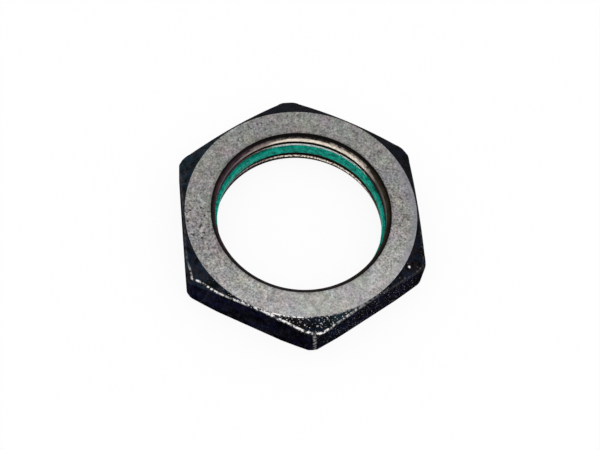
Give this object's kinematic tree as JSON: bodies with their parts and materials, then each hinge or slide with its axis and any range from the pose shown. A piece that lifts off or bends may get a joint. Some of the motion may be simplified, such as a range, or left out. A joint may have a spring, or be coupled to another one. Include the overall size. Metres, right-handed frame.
{
  "type": "locknut",
  "caption": "Thin hexagonal steel locknut with chamfered faces, a threaded bore and a green polyamide ring held inside the bore to grip the male thread.",
  "frame": {"origin": "centre of the bore on the bottom face", "axes": "+Z along the bore, from the bottom face to the ground top face; +X square to one flat, +Y towards one corner"},
  "size_m": [0.0334, 0.038, 0.0063],
  "materials": {
    "nut_steel": "black oxide on the sides, chamfers and thread, with the top face ground to bare grey steel",
    "ring_polyamide": "moulded teal green polyamide, satin"
  },
  "bodies": {
    "root": {"nut_body": "nut_steel", "locking_ring": "ring_polyamide"}
  },
  "joints": []
}
